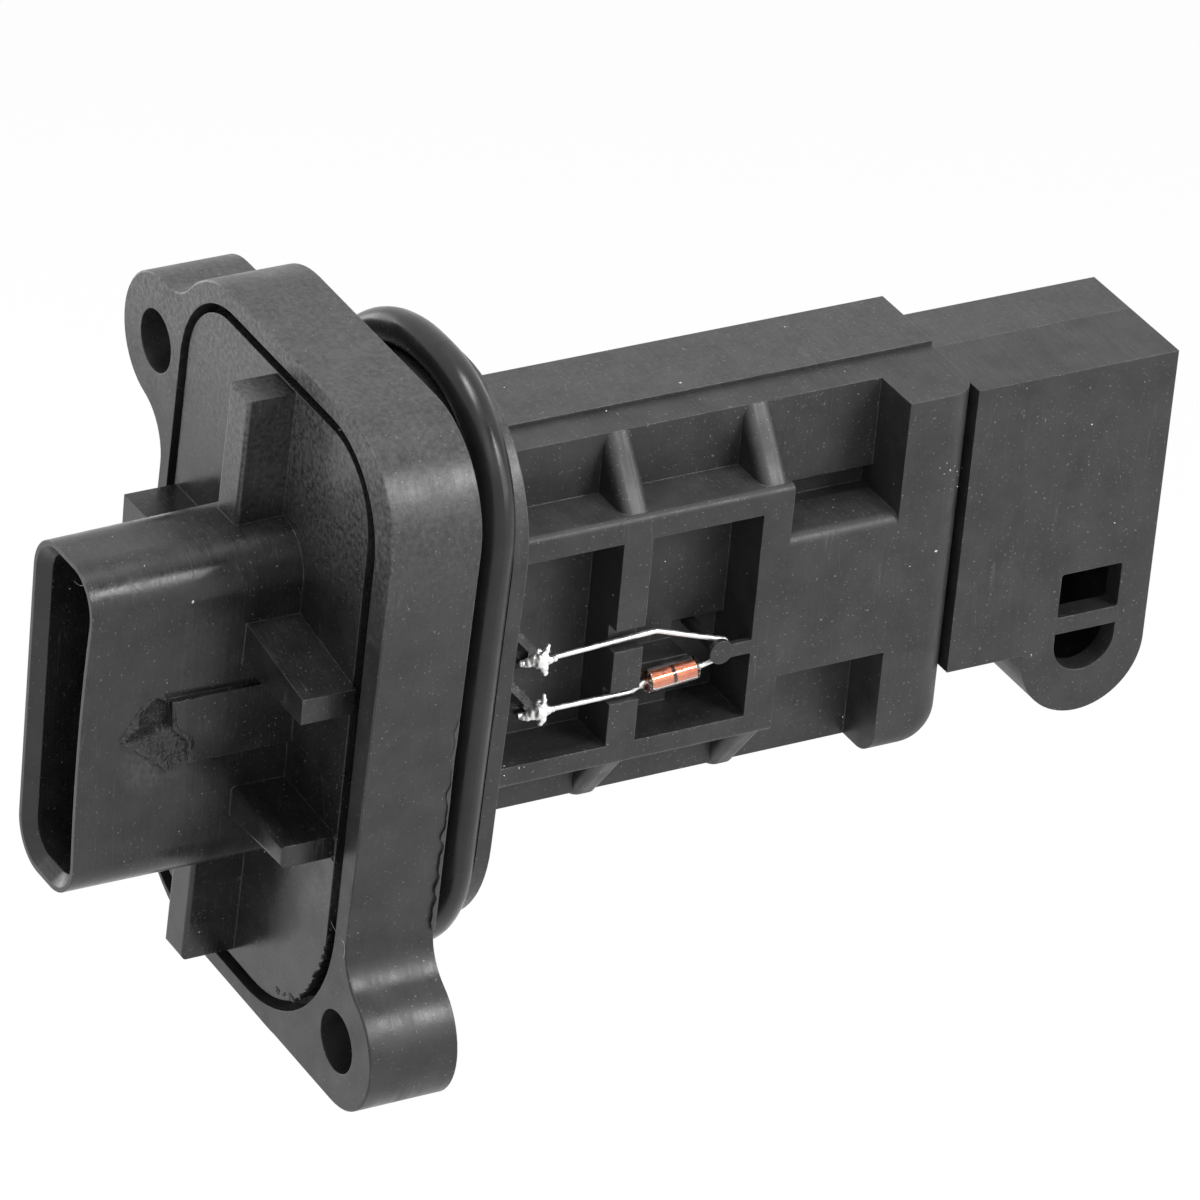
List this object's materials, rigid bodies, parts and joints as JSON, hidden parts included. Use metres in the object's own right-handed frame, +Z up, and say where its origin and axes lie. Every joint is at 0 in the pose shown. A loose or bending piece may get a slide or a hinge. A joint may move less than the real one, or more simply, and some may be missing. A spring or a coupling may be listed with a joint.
{
  "type": "mass airflow sensor",
  "caption": "Plug-in mass airflow sensor with a diagonal eared flange, shrouded connector, sealed spigot and flat two-part probe with windows and a bypass tip.",
  "frame": {"origin": "midway between the two screw holes, on the seating face of the flange", "axes": "+X along the probe, out of the flange's back; -X the connector mouth; -Y the side with the windows; +Z up along the flange's long side"},
  "size_m": [0.0887, 0.044, 0.0541],
  "materials": {
    "housing_plastic": "glass-filled moulded plastic, satin, fine grain",
    "header_plastic": "glass-filled moulded plastic, satin",
    "cover_plastic": "glass-filled moulded plastic, matte",
    "seal_rubber": "smooth oiled rubber",
    "sealant": "cured black sealant, ragged edge",
    "adhesive": "cured glossy black adhesive",
    "element_glass": "clear drawn glass",
    "slug_copper": "copper orange plated slug",
    "chip_ceramic": "sintered ceramic",
    "wire_tin": "bright tinned wire",
    "solder": "bright solder",
    "terminal_metal": "tin plated strip",
    "board_laminate": "green solder mask over laminate",
    "chip_case": "moulded epoxy",
    "capacitor_ceramic": "tan ceramic with tinned ends",
    "carrier_ceramic": "white fired ceramic",
    "element_film": "coated silicon"
  },
  "bodies": {
    "root": {"flange_housing": "housing_plastic", "connector_header": "header_plastic", "header_sealant": "sealant", "o_ring": "seal_rubber", "probe_cover": "cover_plastic", "thermistor_glass": "element_glass", "thermistor_slug_left": "slug_copper", "thermistor_slug_right": "slug_copper", "thermistor_chip": "chip_ceramic", "upper_lead": "wire_tin", "lower_lead": "wire_tin", "upper_solder": "solder", "lower_solder": "solder", "upper_adhesive": "adhesive", "lower_adhesive": "adhesive", "upper_terminal": "terminal_metal", "lower_terminal": "terminal_metal", "circuit_board": "board_laminate", "sensor_carrier": "carrier_ceramic", "flow_element": "element_film", "control_chip": "chip_case", "memory_chip": "chip_case", "connector_pin_1": "terminal_metal", "connector_pin_2": "terminal_metal", "connector_pin_3": "terminal_metal", "connector_pin_4": "terminal_metal", "connector_pin_5": "terminal_metal", "capacitor_1": "capacitor_ceramic", "resistor_1": "chip_case", "capacitor_2": "capacitor_ceramic", "resistor_2": "chip_case", "capacitor_3": "capacitor_ceramic", "resistor_3": "chip_case"}
  },
  "joints": []
}
